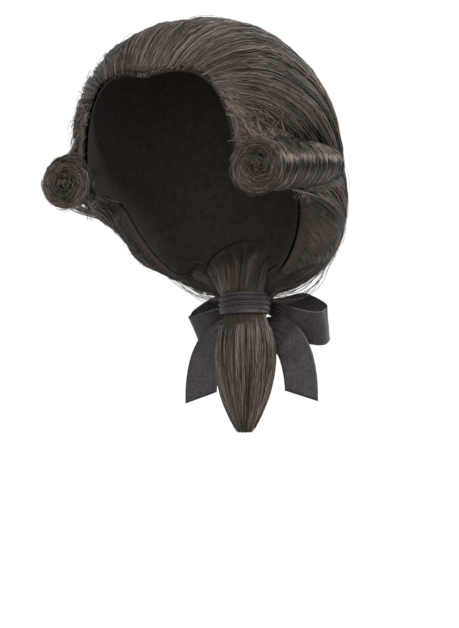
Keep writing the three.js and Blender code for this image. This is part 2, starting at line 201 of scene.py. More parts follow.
# How it comes in to the tie
arriving = {
    "side": [0, -0.55, -0.95, -1.15, -1.00, -0.75, -0.78, -0.91, -1.04, -1.17, -1.30],
    "back": [-0.10, -0.12, -0.12, -0.10, -0.02, 0.05, 0.08, 0.11, 0.14, 0.17, 0.20],
    "up": [-1.00, -0.95, -0.85, -0.75, -0.75, -0.72, -0.67, -0.62, -0.56, -0.50, -0.45],
    "hold": [1.55, 1.40, 1.25, 1.08, 0.95, 0.85, 0.80, 0.62, 0.45, 0.33, 0.22],
}
gathering = {
    "halfWidth": 0.019,
    "halfDepth": 0.013,
    "depths": (1.1, -0.5),  # of halfDepth, at the middle of the back and at the edge
    "lift": 0.020,
    "fall": 0.008,
    "spread": 1.5,
    "start": 0.9,
    "close": 0.875,
    "turn": 78.0,  # degrees round the queue at the edge
    "snug": 0.95,
    "tuck": 0.006,  # under the top of the ribbon's wrap
}


def ease(low, high, value):
    share = np.clip((value - low) / (high - low), 0, 1)
    return share * share * (3 - 2 * share)


def fade(low, high, value):
    return 1 - ease(low, high, value)


def bell(middle, width, value):
    return np.exp(-(((value - middle) / width) ** 2))


def mix(first, second, share):
    return first + (second - first) * share


def unit(vectors):
    return vectors / np.linalg.norm(vectors, axis=-1, keepdims=True)


def across(vectors, directions):
    # what is left of the vectors square to the directions, at length 1
    along = np.sum(vectors * directions, axis=-1, keepdims=True)
    return unit(vectors - along * directions)


def evened(rows, rounds):
    # each row drawn towards the means of its neighbours, its ends kept
    for _ in range(rounds):
        rows[:, 1:-1] = (rows[:, :-2] + 2 * rows[:, 1:-1] + rows[:, 2:]) / 4
    return rows


def readTable(table, share):
    # smooth reading of evenly spaced rows
    result = {}
    for name, column in table.items():
        rows = np.asarray(column, float)
        place = np.clip(share, 0, 1) * (len(rows) - 1)
        row = np.minimum(place.astype(int), len(rows) - 2)
        t = place - row
        a, b = rows[np.maximum(row - 1, 0)], rows[row]
        c, d = rows[row + 1], rows[np.minimum(row + 2, len(rows) - 1)]
        bend = (2 * a - 5 * b + 4 * c - d) * t**2 + (3 * b - a - 3 * c + d) * t**3
        result[name] = b + 0.5 * ((c - a) * t + bend)
    return result


def ripple(u, v, seed):
    # smooth random swell over two coordinates, from -1 to 1, with a seed for each use of it
    size = 89
    table = np.random.default_rng(seed).uniform(-1, 1, (size, size))
    row, column = np.floor(u).astype(int), np.floor(v).astype(int)
    s, t = u - row, v - column
    s, t = s * s * (3 - 2 * s), t * t * (3 - 2 * t)
    at = lambda i, j: table[(row + i) % size, (column + j) % size]
    return mix(mix(at(0, 0), at(1, 0), s), mix(at(0, 1), at(1, 1), s), t)


def towardHead(turn, drop):
    # direction from the middle of the head to the scalp at a turn and a drop
    z = head["above"] - drop
    power = head["squareness"]
    rise = np.abs(z) / np.where(z < 0, head["below"], head["above"])
    shrink = np.maximum(1 - rise**power, 0) ** (1 / power)
    sideways, forward = np.sin(np.radians(turn)), np.cos(np.radians(turn))
    depth = np.where(forward > 0, head["front"], head["back"])
    size = (np.abs(sideways) / head["halfWidth"]) ** power + (np.abs(forward) / depth) ** power
    reach = shrink / size ** (1 / power)
    return unit(np.stack([reach * sideways, -reach * forward, z + 0 * turn], -1))


def combedDirection(side, way):
    # direction of the hair that leaves the edge at a share of it, at a share of its way to the tie
    along = np.abs(side)
    edge = readTable(hairEdge, along)
    comb, home = readTable(combing, along), readTable(arriving, along)
    start = towardHead(edge["turn"], edge["drop"] * head["rimDepth"])
    leave = across(np.stack([comb["side"], comb["back"], comb["up"]], -1), start)
    reach, hold = comb["reach"][..., None], home["hold"][..., None]
    low = tie[2] + gathering["lift"] - gathering["fall"] * along**2
    gather = unit(np.stack([
        gathering["halfWidth"] * gathering["spread"] * np.sin(np.pi / 2 * along),
        tie[1] + gathering["halfDepth"] * mix(*gathering["depths"], along**2),
        low,
    ], -1) - headMiddle)
    arrive = across(np.stack([home["side"], home["back"], home["up"]], -1), gather)
    t = np.clip(way, -0.05, 1)[..., None]
    place = start * (1 - t) ** 3 + (start + leave * reach) * 3 * t * (1 - t) ** 2
    place = place + (gather - arrive * hold) * 3 * t**2 * (1 - t) + gather * t**3
    place = unit(place)
    place[..., 0] *= np.where(side < 0, -1, 1)
    return place


def newObject(name, mesh, replaced=()):
    piece = bpy.data.objects.new(name, mesh)
    bpy.context.scene.collection.objects.link(piece)
    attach(piece, "root")
    if replaced:
        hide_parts(*replaced)
    return piece


def copyOfNode(node, rounds, sink=0.0, smoothings=3):
    # a welded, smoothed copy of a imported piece, sunk a little under its own skin
    bm = bmesh.new()
    bm.from_mesh(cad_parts[node].data)
    bmesh.ops.remove_doubles(bm, verts=bm.verts, dist=2e-6)
    bmesh.ops.dissolve_degenerate(bm, edges=bm.edges, dist=1e-6)
    for _ in range(rounds):
        bmesh.ops.subdivide_edges(bm, edges=bm.edges, cuts=1, use_grid_fill=True)
        for _ in range(smoothings):
            bmesh.ops.smooth_vert(
                bm, verts=bm.verts, factor=0.5, use_axis_x=True, use_axis_y=True, use_axis_z=True)
    bm.normal_update()
    for vertex in bm.verts:
        vertex.co -= vertex.normal * sink
    return bm


# Rolled curls: where the roll's middle lies and its share of the radius, from front to back
rollPath = {
    "across": [0.0775, 0.0866, 0.0914, 0.0914, 0.0873],
    "height": [-0.1134, -0.1089, -0.1045, -0.1001, -0.0956],
    "scale": [1, 0.94, 0.87, 0.79, 0.71],
}
roll = {
    "radius": 0.0207,
    "pitch": 0.0063,  # from one turn to the next
    "lip": 118.0,  # degrees
}
curlLow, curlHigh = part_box("side_curl_left")


def rollPoint(hand, share, turned, lift=0.0):
    # a place on the rolled sheet, at a share of its length and a number of turns past the lip
    row = readTable(rollPath, share)
    angle = np.radians(roll["lip"] - 360 * turned)
    reach = (roll["radius"] - roll["pitch"] * turned) * row["scale"] + lift
    return np.stack([
        hand * (row["across"] + reach * np.cos(angle)),
        mix(curlLow.y, curlHigh.y, share) + 0 * angle,
        row["height"] + reach * np.sin(angle),
    ], -1)


# Hair material: each strand's tone comes from its attribute, and its gloss follows the tone
hairFinish = {
    "dark": (0.0125, 0.0088, 0.0066, 1),
    "middle": (0.0445, 0.0350, 0.0280, 1),
    "light": (0.1640, 0.1260, 0.0990, 1),
    "roughness": 0.30,
    "specular": 0.36,
    # the darkest tones are mostly painted shade, below the curl's painted highlight and in the hollows, so
    # their gloss drops with them
    "dull": 0.08,  # gloss of the darkest strands
    "dullBelow": 0.2,  # tone
    "tint": (1.0, 0.92, 0.86, 1),
}
# Under-hair colours are darker than the strands': partly the under-hair's own colour, partly painted shade
# between the strands
underFinish = {
    "dark": (0.0120, 0.0088, 0.0068, 1),
    "middle": (0.0300, 0.0232, 0.0184, 1),
    "light": (0.0560, 0.0434, 0.0350, 1),
    "roughness": 0.6,
    "specular": 0.10,
    "tint": (1.0, 0.84, 0.72, 1),
    "tone": 0.3,
    "streaks": 420.0,
    "streakTone": (0.9, -0.22),  # times the streaks, and added
    "relief": 0.0006,
}


def newPaint(name, finish):
    paint = bpy.data.materials.new(name)
    paint.use_nodes = True
    shader = paint.node_tree.nodes["Principled BSDF"]
    shader.inputs["Roughness"].default_value = finish["roughness"]
    shader.inputs["Specular IOR Level"].default_value = finish["specular"]
    return paint, shader


def addNoise(paint, scale, fineness):
    noise = paint.node_tree.nodes.new("ShaderNodeTexNoise")
    noise.inputs["Scale"].default_value = scale
    noise.inputs["Detail"].default_value = fineness
    return noise


def addRelief(paint, shader, height, depth):
    bump = paint.node_tree.nodes.new("ShaderNodeBump")
    bump.inputs["Distance"].default_value = depth
    paint.node_tree.links.new(height, bump.inputs["Height"])
    paint.node_tree.links.new(bump.outputs["Normal"], shader.inputs["Normal"])


def hairMaterial(name, finish):
    paint, shader = newPaint(name, finish)
    nodes, links = paint.node_tree.nodes, paint.node_tree.links
    tone = nodes.new("ShaderNodeAttribute")
    tone.attribute_name = "tone"
    value = tone.outputs["Fac"]
    if "streaks" in finish:
        comb, streaks = nodes.new("ShaderNodeAttribute"), addNoise(paint, finish["streaks"], 3.0)
        comb.attribute_name = "comb"
        streaks.noise_dimensions = "1D"
        links.new(comb.outputs["Fac"], streaks.inputs["W"])
        addRelief(paint, shader, streaks.outputs["Fac"], finish["relief"])
        streaked, added = nodes.new("ShaderNodeMath"), nodes.new("ShaderNodeMath")
        streaked.operation = "MULTIPLY_ADD"
        streaked.inputs[1].default_value, streaked.inputs[2].default_value = finish["streakTone"]
        links.new(streaks.outputs["Fac"], streaked.inputs[0])
        links.new(streaked.outputs["Value"], added.inputs[0])
        links.new(value, added.inputs[1])
        value = added.outputs["Value"]
    ramp = nodes.new("ShaderNodeValToRGB")
    ramp.color_ramp.elements.new(0.5)
    for stop, key in zip(ramp.color_ramp.elements, ("dark", "middle", "light")):
        stop.color = finish[key]
    links.new(value, ramp.inputs["Fac"])
    links.new(ramp.outputs["Color"], shader.inputs["Base Color"])
    shader.inputs["Specular Tint"].default_value = finish["tint"]
    if "dull" in finish:
        gloss = nodes.new("ShaderNodeMapRange")
        gloss.inputs["From Max"].default_value = finish["dullBelow"]
        gloss.inputs["To Min"].default_value = finish["dull"]
        gloss.inputs["To Max"].default_value = finish["specular"]
        links.new(tone.outputs["Fac"], gloss.inputs["Value"])
        links.new(gloss.outputs["Result"], shader.inputs["Specular IOR Level"])
    return paint


hairPaint = hairMaterial("hairStrands", hairFinish)
underPaint = hairMaterial("underHair", underFinish)


def strandNodes():
    # lines become thin three-sided hairs, as thick as their own girth says
    group = bpy.data.node_groups.new("strandThickness", "GeometryNodeTree")
    group.interface.new_socket("Lines", in_out="INPUT", socket_type="NodeSocketGeometry")
    group.interface.new_socket("Hairs", in_out="OUTPUT", socket_type="NodeSocketGeometry")
    nodes, links = group.nodes, group.links
    given, made = nodes.new("NodeGroupInput"), nodes.new("NodeGroupOutput")
    curves = nodes.new("GeometryNodeMeshToCurve")
    thickness = nodes.new("GeometryNodeInputNamedAttribute")
    thickness.data_type = "FLOAT"
    thickness.inputs["Name"].default_value = "girth"
    section = nodes.new("GeometryNodeCurvePrimitiveCircle")
    section.inputs["Resolution"].default_value = 3
    section.inputs["Radius"].default_value = 1.0
    tubes = nodes.new("GeometryNodeCurveToMesh")
    tubes.inputs["Fill Caps"].default_value = True
    smooth = nodes.new("GeometryNodeSetShadeSmooth")
    links.new(given.outputs["Lines"], curves.inputs["Mesh"])
    links.new(curves.outputs["Curve"], tubes.inputs["Curve"])
    links.new(section.outputs["Curve"], tubes.inputs["Profile Curve"])
    links.new(thickness.outputs["Attribute"], tubes.inputs["Scale"])
    links.new(tubes.outputs["Mesh"], smooth.inputs["Geometry"])
    links.new(smooth.outputs["Geometry"], made.inputs["Hairs"])
    return group


strandGroup = strandNodes()


def addValues(mesh, **layers):
    # a number for each point, under each name
    for name, values in layers.items():
        layer = mesh.attributes.new(name, "FLOAT", "POINT")
        layer.data.foreach_set("value", values.astype(np.float32))


def strandPiece(name, bundles):
    # bundles: places, girths and tones, with one row of points for each strand
    places = np.concatenate([bundle[0].reshape(-1, 3) for bundle in bundles])
    girths = np.concatenate([bundle[1].ravel() for bundle in bundles])
    tones = np.concatenate([bundle[2].ravel() for bundle in bundles])
    edges, first = [], 0
    for bundle in bundles:
        count, steps = bundle[0].shape[:2]
        start = first + np.arange(count)[:, None] * steps + np.arange(steps - 1)[None]
        edges.append(np.stack([start, start + 1], -1).reshape(-1, 2))
        first += count * steps
    edges = np.concatenate(edges)
    mesh = bpy.data.meshes.new(name)
    mesh.vertices.add(len(places))
    mesh.vertices.foreach_set("co", places.astype(np.float32).ravel())
    mesh.edges.add(len(edges))
    mesh.edges.foreach_set("vertices", edges.astype(np.int32).ravel())
    addValues(mesh, girth=girths, tone=tones)
    lines = bpy.data.objects.new(name + "Lines", mesh)
    bpy.context.scene.collection.objects.link(lines)
    lines.modifiers.new("thickness", "NODES").node_group = strandGroup
    shown = bpy.context.evaluated_depsgraph_get()
    solid = bpy.data.meshes.new_from_object(lines.evaluated_get(shown))
    bpy.data.objects.remove(lines)
    solid.name = name
    if "girth" in solid.attributes:
        solid.attributes.remove(solid.attributes["girth"])
    solid.materials.clear()
    solid.materials.append(hairPaint)
    newObject(name, solid)
    count = sum(len(polygon.vertices) - 2 for polygon in solid.polygons)
    print(f"{name}: {count} triangles")
    return count


def placesOf(mesh):
    places = np.empty(len(mesh.vertices) * 3, np.float32)
    mesh.vertices.foreach_get("co", places)
    return places.reshape(-1, 3)


def underPiece(name, bm, node, comb):
    # the body of hair under a field of strands; comb maps places to streaks along the hair
    mesh = bpy.data.meshes.new(name)
    bm.to_mesh(mesh)
    bm.free()
    addValues(mesh, comb=comb(placesOf(mesh)), tone=np.full(len(mesh.vertices), underFinish["tone"]))
    mesh.shade_smooth()
    mesh.materials.append(underPaint)
    newObject(name, mesh, (node,))


# Hollow: where the hair turns in above each rolled curl. The hair's body is dented there, and the strands are
# darkened there as painted shade
hollow = {
    "above": 0.001,  # over the curl's top
    "spread": 0.014,
    "depth": 0.011,
    "front": (-0.06, -0.02),  # where it comes in, from front to back
    "back": (0.06, 0.10),  # where it goes out
    "beside": (0.04, 0.06),  # from the middle of the head
    "overCap": 0.004,  # what is left between the hair's skin and the cap
}


def alongRoll(places):
    return (places[..., 1] - curlLow.y) / (curlHigh.y - curlLow.y)


def hollowShare(places):
    row = readTable(rollPath, alongRoll(places))
    over = places[..., 2] - row["height"] - roll["radius"] * row["scale"]
    along = ease(*hollow["front"], places[..., 1]) * fade(*hollow["back"], places[..., 1])
    beside = ease(*hollow["beside"], np.abs(places[..., 0]))
    return along * beside * bell(hollow["above"], hollow["spread"], over)


def sinkHollows(bm):
    inner = copyOfNode("foundation_cap", rounds=0)
    capSkin = BVHTree.FromBMesh(inner)
    inner.free()
    for vertex in bm.verts:
        out = (vertex.co - Vector(headMiddle)).normalized()
        if vertex.normal.dot(out) > 0:
            spare = capSkin.find_nearest(vertex.co)[3] - hollow["overCap"]
            wanted = hollow["depth"] * float(hollowShare(np.array(vertex.co)))
            vertex.co -= out * max(min(wanted, spare), 0)
    bm.normal_update()


underSink = {
    "edge": 0.0002,
    "field": 0.0012,  # and so much more where the skin faces out from the head
    "facing": (0.35, 0.80),
}
underBody = copyOfNode("crown_hair", rounds=1)
sinkHollows(underBody)
hairSkin = BVHTree.FromBMesh(underBody)
for vertex in underBody.verts:
    out = (vertex.co - Vector(headMiddle)).normalized()
    facing = float(ease(*underSink["facing"], abs(vertex.normal.dot(out))))
    vertex.co -= vertex.normal * (underSink["edge"] + underSink["field"] * facing)

rays = {
    "outside": 0.25,  # from the head's middle, clear of all the hair
    "length": 0.2,
    "missed": 0.1,  # reach of a strand that meets no hair
    "smoothings": 2,
}


def skinReach(directions, inside=False):
    # distance from the middle of the head to the hair's skin, smoothed along each strand
    flat = directions.reshape(-1, 3)
    centre = Vector(headMiddle)
    found = np.full(len(flat), np.nan)
    for i, direction in enumerate(flat):
        ray = Vector(direction)
        if inside:
            place = hairSkin.ray_cast(centre, ray, rays["length"])[0]
        else:
            place = hairSkin.ray_cast(centre + ray * rays["outside"], -ray, rays["length"])[0]
        if place is not None:
            found[i] = (place - centre).length
    found = found.reshape(directions.shape[:-1])
    steps = np.arange(found.shape[1])
    for row in found:
        known = ~np.isnan(row)
        row[~known] = np.interp(steps[~known], steps[known], row[known]) if known.any() else rays["missed"]
    return evened(found, rays["smoothings"])


def shares(steps):
    # of a strand's length, from root to tip
    return np.linspace(0, 1, steps)[None]


def onSkin(side, way, lift, inside=False):
    # places over the dressed hair, closing on the tie at their ends
    directions = combedDirection(side, np.minimum(way / gathering["start"], 1))
    points = headMiddle + directions * (skinReach(directions, inside) + lift)[..., None]
    turn = np.radians(gathering["turn"]) * side
    depth = gathering["halfDepth"] * np.cos(turn)
    end = np.stack([
        tie[0] + gathering["snug"] * gathering["halfWidth"] * np.sin(turn),
        tie[1] + gathering["snug"] * (-depth if inside else depth),
        np.full_like(turn, wrapHigh.z - gathering["tuck"]),
    ], -1)
    return mix(points, end, ease(gathering["close"], 1, way)[..., None])


def crownComb(places):
    # the share of the edge of the combing lines that each place is nearest to
    lineCount, steps, nearest = 161, 24, 3
    sides = np.linspace(-1, 1, lineCount)[:, None] + np.zeros((1, steps))
    lines = onSkin(sides, shares(steps) + 0 * sides, 0 * sides).reshape(-1, 3)
    finder = KDTree(len(lines))
    for i, place in enumerate(lines):
        finder.insert(place, i)
    finder.balance()
    result = np.empty(len(places))
    for i, place in enumerate(places):
        near = finder.find_n(place, nearest)
        weights = np.array([1 / (item[2] + 1e-4) for item in near])
        result[i] = np.dot(weights, [sides.flat[item[1]] for item in near]) / weights.sum()
    return result


underPiece("under_hair", underBody, "crown_hair", crownComb)
print("under-hair ready")

# Crown hair: three fields of strands from the hairline to the tie
crownLocks = {
    "strands": {"left": 1800, "top": 1700, "right": 1480},
    "parting": 0.22,  # share of the edge where the side fields begin
    "points": 15,
    "closerRoots": 1.25,  # above 1, the points stand closer at the roots
    "girth": 0.00027,
    "girths": (0.7, 1.25),  # of the girth, from the thinnest strand to the thickest
    "thinEnds": (0.5, 0.4),  # of a strand's girth, at its root and its tip
    "rooted": 0.6,  # share of the strands that begin at the hairline
    "roots": (-0.004, 0.02),
    "laterRoots": (0.02, 0.45),
    "tied": 0.85,  # share of the strands that reach the tie
    "shortEnds": (0.6, 0.95),
    "locks": 52,  # from ear to ear
    "clumping": 0.45,
    "fineLocks": 230,
    "fineClumping": 0.8,
    "fineSwell": 0.0006,
    "swell": 0.0009,
    "calm": 0.6,  # how much less the locks stand out behind the ear
    "fluff": 0.0042,  # how far the hair stands off above the temple
    "wander": 0.010,  # share of the edge
    "depth": 0.0012,
    "rimDepth": 0.0012,
}
# Ranges of the share of the edge, and of the share of the way to the tie
crownAreas = {
    # ear and earRim: where painted light lifts the shaded hair behind the ear, less at the rim
    "ear": {"side": (0.62, 0.80), "way": (0.45, 0.75)},
    "earRim": {"side": (0.85, 0.97)},
    "calm": {"side": (0.55, 0.70)},
    "hairline": {"way": (0.02, 0.10)},
    "nape": {"side": (0.15, 0.45), "way": (0.55, 0.78)},
    "temple": {"middle": 0.44, "width": 0.13, "way": (0.12, 0.30)},
    "fluff": {"middle": 0.32, "width": 0.13, "rise": (-0.01, 0.07), "way": (0.10, 0.32)},
}
crownTones = {
    "base": 0.39,
    "variety": 0.30,
    # painted shade in the hollow above each curl
    "hollow": -0.20,
    # painted light behind the ear: strands lifted and evened towards a lighter tone there, less at the rim
    "earPaintedLight": 0.20,
    "ear": 0.45,
    "earRim": -0.15,
    "earEvenness": 0.6,
    "hairline": 0.12,
    # painted shade at the nape: strands evened towards a dark tone
    "nape": 0.10,
    "napeShadeEvenness": 0.80,
    "temple": -0.15,
}
toneMix = {
    "patches": 0.2,
    "brightShare": 0.10,
    "bright": 0.35,
}


def evenSides(rng, count, low, high):
    # places along the edge, drawn so that the hair lies evenly where it is widest
    trials, least = 400, 0.0006
    trial = np.linspace(low, high, trials)
    directions = combedDirection(trial[None], np.full((1, trials), 0.5))[0]
    spacing = np.linalg.norm(np.gradient(directions, axis=0), axis=1) + least
    total = np.cumsum(spacing)
    return np.interp(rng.uniform(total[0], total[-1], count), total, trial)


def numberOf(strands):
    return int(strands * detail)


def taper(steps, root, tip):
    # girth along a strand, thin at both ends
    rootRise, tipFall = 12, 6
    share = shares(steps)
    return np.minimum(1, root + rootRise * share) * np.minimum(1, tip + tipFall * (1 - share))


def spread(rng, count, low, high):
    return rng.uniform(low, high, (count, 1))


def girthsOf(rng, count, steps, girth, family):
    return girth * spread(rng, count, *family["girths"]) * taper(steps, *family["thinEnds"])


def strandTones(rng, count, base, patches, variety=0.26):
    tone = base + toneMix["patches"] * patches + rng.normal(0, variety, (count, 1))
    bright = rng.random((count, 1)) < toneMix["brightShare"]
    return np.clip(tone + toneMix["bright"] * bright, 0, 1)


def fluffAt(side, way):
    area = crownAreas["fluff"]
    share = bell(area["middle"], area["width"], np.abs(side))
    return crownLocks["fluff"] * share * ease(*area["rise"], way) * fade(*area["way"], way)


def crownTone(rng, count, side, way, patches, points):
    areas, tones, fromPeak = crownAreas, crownTones, np.abs(side)
    ear = ease(*areas["ear"]["side"], fromPeak) * fade(*areas["ear"]["way"], way)
    temple = bell(areas["temple"]["middle"], areas["temple"]["width"], fromPeak)
    nape = ease(*areas["nape"]["side"], fromPeak) * ease(*areas["nape"]["way"], way)
    hairline = fade(*areas["hairline"]["way"], way) * fade(*areas["calm"]["side"], fromPeak)
    earPaintedTone = tones["ear"] + tones["earRim"] * ease(*areas["earRim"]["side"], fromPeak)
    tone = strandTones(rng, count, tones["base"], patches, tones["variety"])
    # painted shade in the hollow above each curl
    tone = tone + tones["hollow"] * hollowShare(points)
    # painted light lifting the shaded hair behind the ear towards an even, lighter tone
    tone = mix(tone + tones["earPaintedLight"] * ear, earPaintedTone, tones["earEvenness"] * ear)
    # the hairline lighter, and painted shade evening the nape towards a dark tone
    tone = mix(tone + tones["hairline"] * hairline, tones["nape"], tones["napeShadeEvenness"] * nape)
    return np.clip(tone + tones["temple"] * temple * fade(*areas["temple"]["way"], way), 0, 1)


def crownBundle(rng, low, high, count):
    locks, steps = crownLocks, crownLocks["points"]
    sides = evenSides(rng, count, low, high)[:, None]
    rooted = rng.random((count, 1)) < locks["rooted"]
    begin = np.where(rooted, spread(rng, count, *locks["roots"]), spread(rng, count, *locks["laterRoots"]))
    tied = rng.random((count, 1)) < locks["tied"]
    end = np.where(tied, 1.0, spread(rng, count, *locks["shortEnds"]))
    share = shares(steps) ** locks["closerRoots"]
    way = begin + (end - begin) * share
    phase = np.pi * locks["locks"] * sides + 1.5 * ripple(sides * 9, way * 3, 5)
    calm = 1 - locks["calm"] * ease(*crownAreas["calm"]["side"], np.abs(sides))
    pull = locks["clumping"] * calm * np.sin(phase) / (np.pi * locks["locks"])
    fine = np.pi * locks["fineLocks"] * sides + 2.5 * ripple(sides * 40, way * 2.5, 6)
    pull = pull + locks["fineClumping"] * calm * np.sin(fine) / (np.pi * locks["fineLocks"])
    waves = np.pi * share * spread(rng, count, 0.4, 1.5) + spread(rng, count, 0, 6)
    drift = spread(rng, count, -1, 1) * np.sin(waves)
    wander = locks["wander"] * drift * fade(0.7, 1, way)
    side = np.clip(sides - pull * ease(0, 0.15, way) + wander, -1, 1)
    waviness = 0.3 - 0.7 * np.abs(ripple(side * 34, way * 2, 3)) + 0.6 * ripple(side * 85, way * 2.6, 4)
    lift = locks["swell"] * calm * waviness * ease(0, 0.1, way) - locks["depth"] * rng.random((count, 1))
    lift = lift + locks["fineSwell"] * calm * np.cos(fine)
    lift = lift + 0.0002 - locks["rimDepth"] * rng.random((count, 1)) * fade(0, 0.05, way)
    points = onSkin(side, way, lift + fluffAt(side, way) * rng.random((count, 1)) ** 0.5)
    girth = girthsOf(rng, count, steps, locks["girth"], locks)
    patches = 0.25 * ripple(side * 22, way * 2, 8) + 0.75 * ripple(sides * 190, way * 1.6, 9)
    return points, girth, crownTone(rng, count, side, way, patches, points)


triangles = 0
rng = np.random.default_rng(seeds["crown"])
parting = crownLocks["parting"]
fields = {"left": (parting, 1), "top": (-parting, parting), "right": (-1, -parting)}
for name, (low, high) in fields.items():
    number = numberOf(crownLocks["strands"][name])
    triangles += strandPiece("crown_strands_" + name, [crownBundle(rng, low, high, number)])
print("crown hair ready")

# Temple hair: from the hairline down and back, and over the rolled curl
templeLocks = {
    "strands": 570,
    "points": 14,
    "onRoll": 5,  # of the points
    "side": (0.27, 0.60),
    "way": 0.24,
    "girth": 0.00019,
    "girths": (0.6, 1.1),
    "thinEnds": (0.5, 0.3),
    "turnedEnd": (0.15, 0.29),  # turns past the lip
    "curl": 0.0016,
    "wiggle": 0.03,
    "frizz": 0.0009,
    "buried": 0.0016,  # under the crown hair
    "tone": 0.38,
    "variety": 0.35,
    # tone of the strands on the roll, darkened as painted shade on its upper side
    "paintedRollShade": 0.18,
    "patch": 1 / 420,
    "boldShare": 0.3,  # of the strands, thicker and lighter
    "boldGirth": 0.8,
    "boldTone": 0.45,
}
faceEdge = {
    "strands": 190,
    "points": (8, 8),  # along the hairline beside the face, and under the front of the curl
    "begin": (0.28, 0.52),
    "end": (0.58, 0.64),
    "way": (0.006, 0.045),
    "under": ((108, 175), (255, 330)),  # degrees round the curl, at first and at last
    "reach": (0.74, 0.93),  # of the curl's radius
    "frizz": 0.0003,
    "girths": (0.7, 1.2),
    "thinEnds": (0.5, 0.2),
    "tone": 0.42,
}
frizz = {
    "strands": 420,
    "points": 6,
    "step": 0.0013,
    "side": (0.33, 0.60),
    "way": (0.01, 0.22),
    "above": 0.65,  # share of the hairs that stand on the crown hair
    "lean": (0, 0.7, -0.4),
    "bend": 0.22,
    "flatness": 0.85,
    "girths": (0.5, 1.0),
    "thinEnds": (0.6, 0.3),
    "tone": (0.45, 1.2),
}


def templeBundle(rng, hand):
    locks, steps, over = templeLocks, templeLocks["points"], templeLocks["onRoll"]
    count = numberOf(locks["strands"])
    side = spread(rng, count, *locks["side"])
    place = spread(rng, count, 0.0, 1.0) ** 1.6
    way = locks["way"] * place
    station = 0.02 + 0.34 * place + 0.08 * (0.6 - side) + spread(rng, count, -0.04, 0.06)
    station = np.clip(station, 0, 0.6)
    last = spread(rng, count, *locks["turnedEnd"])
    share = shares(steps - over)
    root = combedDirection(hand * side, way)
    home = rollPoint(hand, station, np.full_like(station, 0.05), 0.0006) - headMiddle
    homeReach = np.linalg.norm(home, axis=-1)
    wiggle = locks["wiggle"] * ripple(share * 6 + side * 50, way * 40, 24)
    back = np.sin(np.pi * share) * (spread(rng, count, 0.0, 0.10) + wiggle)
    directions = mix(root, home / homeReach[..., None], share[..., None] ** 1.2)
    directions = unit(directions + back[..., None] * np.array([0, 1, 0]))
    reach = mix(skinReach(directions), homeReach, ease(0.4, 1, share))
    wave = locks["curl"] * ripple(share * 5 + side * 40, way * 60, 21)
    buried = locks["buried"] * fade(0.15, 0.5, share) * ease(0.03, 0.08, way)
    fluff = (fluffAt(side, way) + 0.0003) * fade(0.2, 0.7, share) * rng.random((count, 1)) ** 0.2
    reach = reach + wave + fluff + 0.0003 - buried - 0.001 * rng.random((count, 1))
    first = headMiddle + directions * reach[..., None]
    turned = mix(0.11, last, shares(over))
    slant = station + 0.15 * turned
    second = rollPoint(hand, slant, turned, 0.0004 + 0.0012 * ripple(slant * 40, turned * 4, 22))
    points = evened(np.concatenate([first, second], 1), 2)
    points = points + rng.normal(0, locks["frizz"], points.shape)
    bold = rng.random((count, 1)) < locks["boldShare"]
    girth = locks["girth"] * (spread(rng, count, *locks["girths"]) + locks["boldGirth"] * bold)
    patches = 2.0 * ripple(points[..., 1] / locks["patch"], points[..., 2] / locks["patch"], 23)
    tone = strandTones(rng, count, locks["tone"], patches, locks["variety"]) + locks["boldTone"] * bold
    onRoll = np.linspace(1 - steps / over, 1, steps)[None]
    # painted shade where the strands lie over the roll's upper side
    tone = mix(tone, locks["paintedRollShade"] + rng.normal(0, 0.1, (count, 1)), ease(-0.2, 0.2, onRoll))
    # painted highlight on the tips that end at the roll's bend
    tone = tone + 0.5 * rollPaintedLight["bend"] * ease(0.6, 1, onRoll) * ease(0.2, 0.27, last)
    girth = girth * taper(steps, *locks["thinEnds"])
    # painted shade in the hollow above the curl
    return points, girth, np.clip(tone + crownTones["hollow"] * hollowShare(points), 0, 1)


def faceEdgeBundle(rng, hand):
    count, (down, under) = numberOf(faceEdge["strands"]), faceEdge["points"]
    begin = spread(rng, count, *faceEdge["begin"])
    share = shares(down)
    side = mix(begin, spread(rng, count, *faceEdge["end"]), share)
    way = spread(rng, count, *faceEdge["way"]) * (1 - 0.5 * share) + 0.012 * ripple(share * 4, begin * 80, 25)
    lift = 0.0004 + 0.0015 * rng.random((count, 1)) * np.sin(np.pi * share)
    first = onSkin(hand * side, np.maximum(way, faceEdge["way"][0]), lift)
    row = readTable(rollPath, np.zeros((count, 1)))
    turns = [spread(rng, count, *degrees) for degrees in faceEdge["under"]]
    angle = np.radians(mix(*turns, shares(under)))
    reach = roll["radius"] * spread(rng, count, *faceEdge["reach"])
    second = np.stack([
        hand * (row["across"] + reach * np.cos(angle)),
        curlLow.y + spread(rng, count, -0.001, 0.006) + 0 * angle,
        row["height"] + reach * np.sin(angle),
    ], -1)
    points = evened(np.concatenate([first, second], 1), 3)
    points = points + rng.normal(0, faceEdge["frizz"], points.shape)
    girth = girthsOf(rng, count, down + under, templeLocks["girth"], faceEdge)
    return points, girth, strandTones(rng, count, faceEdge["tone"], 0 * points[..., 0])


def frizzBundle(rng, hand, lines):
    # short hairs all ways, some on the given strands and some on the crown hair above them
    count, steps = numberOf(frizz["strands"]), frizz["points"]
    side, way = spread(rng, count, *frizz["side"]), spread(rng, count, *frizz["way"])
    above = onSkin(hand * side, way, fluffAt(side, way) + 0.0006)[:, 0]
    roots = lines[rng.integers(0, len(lines), count), rng.integers(2, 8, count)]
    roots = np.where(rng.random((count, 1)) < frizz["above"], above, roots)
    out = unit(roots - headMiddle)[:, None]
    heading = unit(rng.normal(0, 1, (count, 3)) + np.array(frizz["lean"]))[:, None]
    heading = heading + np.cumsum(rng.normal(0, frizz["bend"], (count, steps, 3)), axis=1)
    heading = heading - frizz["flatness"] * np.sum(heading * out, axis=-1, keepdims=True) * out
    points = roots[:, None] + np.cumsum(unit(heading), axis=1) * frizz["step"] + out * 0.0004
    girth = girthsOf(rng, count, steps, templeLocks["girth"], frizz)
    return points, girth, np.clip(spread(rng, count, *frizz["tone"]) + 0 * points[..., 0], 0, 1)


